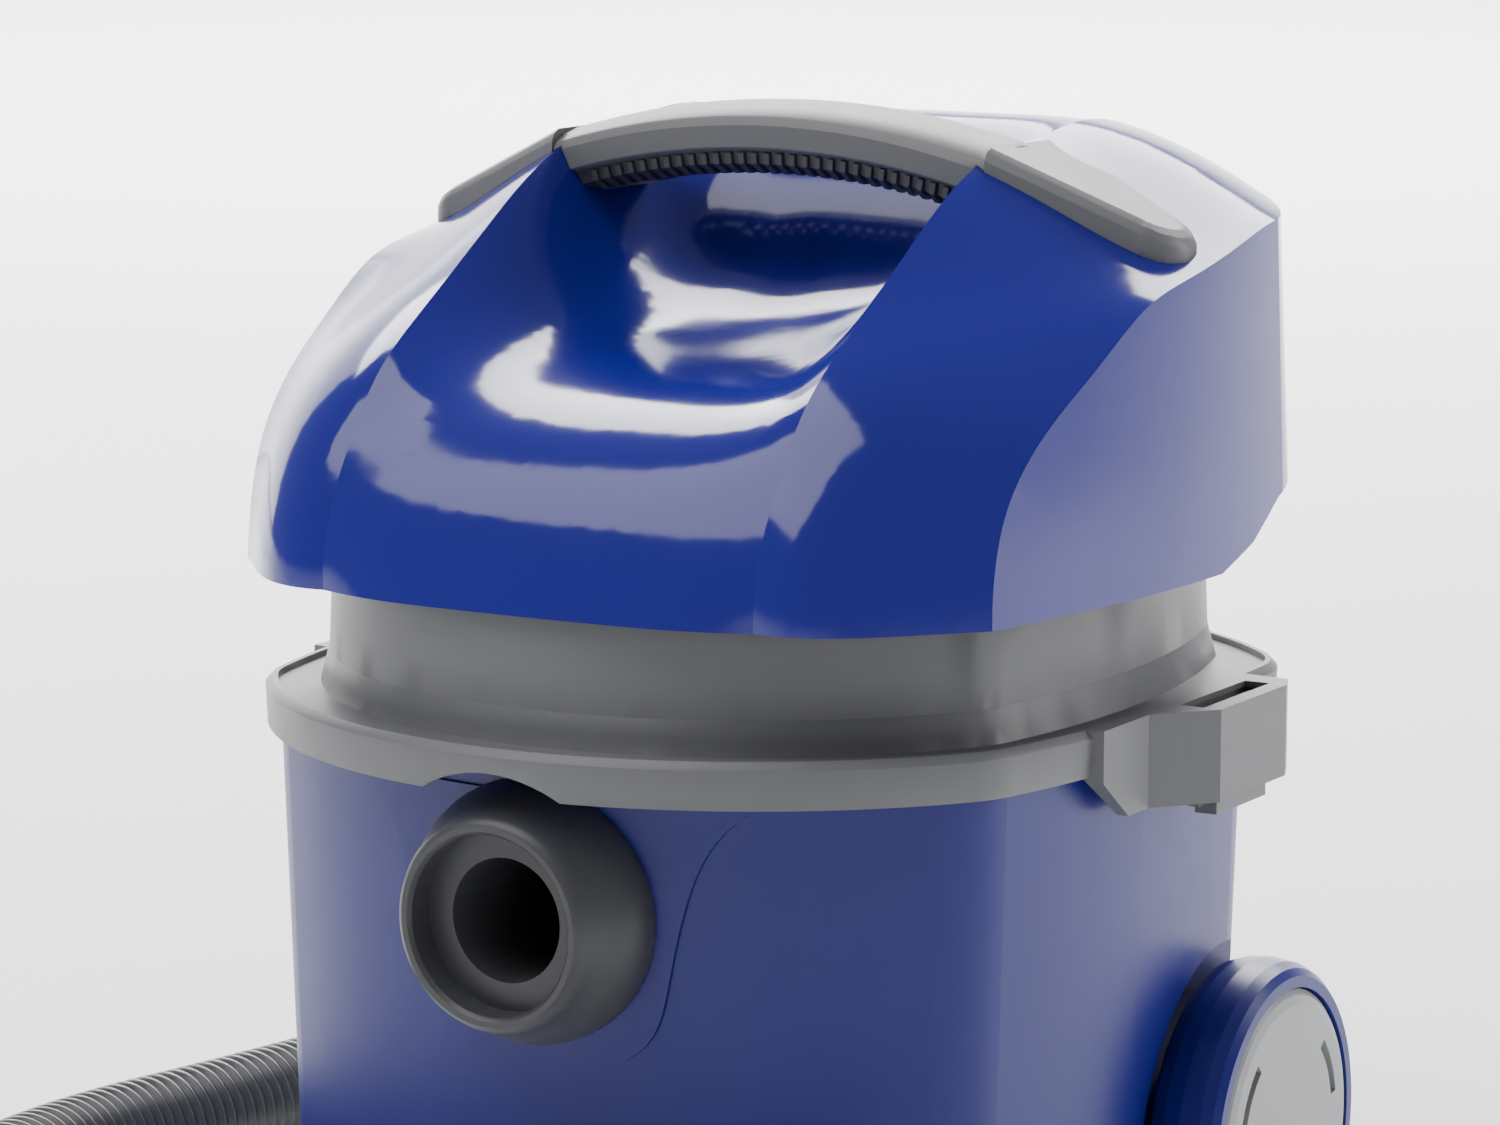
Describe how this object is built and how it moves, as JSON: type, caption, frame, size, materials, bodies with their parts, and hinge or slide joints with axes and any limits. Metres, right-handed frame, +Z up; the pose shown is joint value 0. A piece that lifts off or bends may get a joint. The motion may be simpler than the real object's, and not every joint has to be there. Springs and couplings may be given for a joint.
{
  "type": "shop vacuum",
  "caption": "Canister wet and dry vacuum: a wheeled tank with a front hose socket, a lift-off motor head with side latches and a handle, and a corrugated hose.",
  "frame": {"origin": "on the floor, under the middle of the tank and head (the hose is not counted)", "axes": "+Z up, -Y out of the suction inlet at the front, +X to the right-hand latch seen from behind the handle facing the inlet's back"},
  "size_m": [0.4798, 0.7428, 0.4055],
  "materials": {
    "gloss_blue": "gloss",
    "satin_blue": "satin",
    "grey_plastic": "fine texture",
    "charcoal_plastic": "satin",
    "black_plastic": "satin",
    "light_grey_plastic": "satin",
    "hose_plastic": "satin",
    "rubber": "matt",
    "steel": "ground",
    "laminated_steel": "pressed",
    "copper": "enamelled wire",
    "carbon": "pressed carbon",
    "motor_resin": "moulded",
    "sheet_steel": "zinc plated",
    "foam": "open foam",
    "float_plastic": "satin"
  },
  "bodies": {
    "tank": {"tank_shell": "satin_blue", "inlet_port": "charcoal_plastic", "inlet_gasket": "rubber", "inlet_locknut": "charcoal_plastic", "inlet_deflector": "black_plastic", "rear_axle_left": "steel", "rear_axle_right": "steel", "axle_clip_left": "sheet_steel", "axle_clip_right": "sheet_steel", "caster_sleeve_left": "black_plastic", "caster_sleeve_right": "black_plastic"},
    "wheel_left": {"rear_wheel_left": "satin_blue", "hubcap_left": "light_grey_plastic"},
    "wheel_right": {"rear_wheel_right": "satin_blue", "hubcap_right": "light_grey_plastic"},
    "caster_left": {"caster_stem_left": "steel", "caster_fork_left": "black_plastic", "caster_pin_left": "steel"},
    "caster_roller_left": {"caster_wheel_left": "grey_plastic"},
    "caster_right": {"caster_stem_right": "steel", "caster_fork_right": "black_plastic", "caster_pin_right": "steel"},
    "caster_roller_right": {"caster_wheel_right": "grey_plastic"},
    "head": {"head_base": "grey_plastic", "rim_seal": "rubber", "dome_cover": "gloss_blue", "head_screws": "steel", "handle_bar": "grey_plastic", "handle_grip": "charcoal_plastic", "handle_pad_left": "grey_plastic", "handle_pad_right": "grey_plastic", "latch_pin_left": "steel", "latch_pin_right": "steel", "blower_port": "grey_plastic", "exhaust_grille": "charcoal_plastic", "cord_gland": "rubber", "switch_bezel": "black_plastic", "motor_gasket": "rubber", "fan_housing": "sheet_steel", "lower_bearing": "steel", "stator_core": "laminated_steel", "field_coils": "copper", "carbon_brushes": "carbon", "motor_bracket": "motor_resin", "upper_bearing": "steel", "motor_hood": "black_plastic", "float_cage": "black_plastic", "filter_sleeve": "foam", "hose_cuff": "charcoal_plastic", "hose_tube": "hose_plastic", "hose_grip": "charcoal_plastic"},
    "latch_left_body": {"latch_left": "grey_plastic"},
    "latch_right_body": {"latch_right": "grey_plastic"},
    "rotor": {"motor_shaft": "steel", "armature_core": "laminated_steel", "commutator": "copper", "fan_impeller": "sheet_steel"},
    "rocker": {"power_rocker": "black_plastic"},
    "float": {"float_ball": "float_plastic"}
  },
  "joints": [
    {"name": "head_lift", "type": "slide", "parent": "tank", "child": "head", "axis": [0, 0, 1], "range_m": [0, 0.2]},
    {"name": "wheel_left_spin", "type": "hinge", "parent": "tank", "child": "wheel_left", "pos_m": [-0.151, 0.071, 0.059], "axis": [1, 0, 0], "continuous": true},
    {"name": "wheel_right_spin", "type": "hinge", "parent": "tank", "child": "wheel_right", "pos_m": [0.151, 0.071, 0.059], "axis": [1, 0, 0], "continuous": true},
    {"name": "caster_left_swivel", "type": "hinge", "parent": "tank", "child": "caster_left", "pos_m": [-0.092, -0.086, 0.05], "axis": [0, 0, 1], "continuous": true},
    {"name": "caster_left_roll", "type": "hinge", "parent": "caster_left", "child": "caster_roller_left", "pos_m": [-0.092, -0.074, 0.018], "axis": [1, 0, 0], "continuous": true},
    {"name": "caster_right_swivel", "type": "hinge", "parent": "tank", "child": "caster_right", "pos_m": [0.092, -0.086, 0.05], "axis": [0, 0, 1], "continuous": true},
    {"name": "caster_right_roll", "type": "hinge", "parent": "caster_right", "child": "caster_roller_right", "pos_m": [0.092, -0.074, 0.018], "axis": [1, 0, 0], "continuous": true},
    {"name": "latch_left_swing", "type": "hinge", "parent": "head", "child": "latch_left_body", "pos_m": [-0.157, 0.02, 0.2105], "axis": [0, 1, 0], "range_deg": [0, 10]},
    {"name": "latch_right_swing", "type": "hinge", "parent": "head", "child": "latch_right_body", "pos_m": [0.157, 0.02, 0.2105], "axis": [0, -1, 0], "range_deg": [0, 10]},
    {"name": "motor_spin", "type": "hinge", "parent": "head", "child": "rotor", "pos_m": [0, 0.015, 0.26], "axis": [0, 0, 1], "continuous": true},
    {"name": "power_switch", "type": "hinge", "parent": "head", "child": "rocker", "pos_m": [0, 0.133, 0.238], "axis": [1, 0, 0], "range_deg": [0, 10]},
    {"name": "float_rise", "type": "slide", "parent": "head", "child": "float", "axis": [0, 0, 1], "range_m": [0, 0.043]}
  ]
}
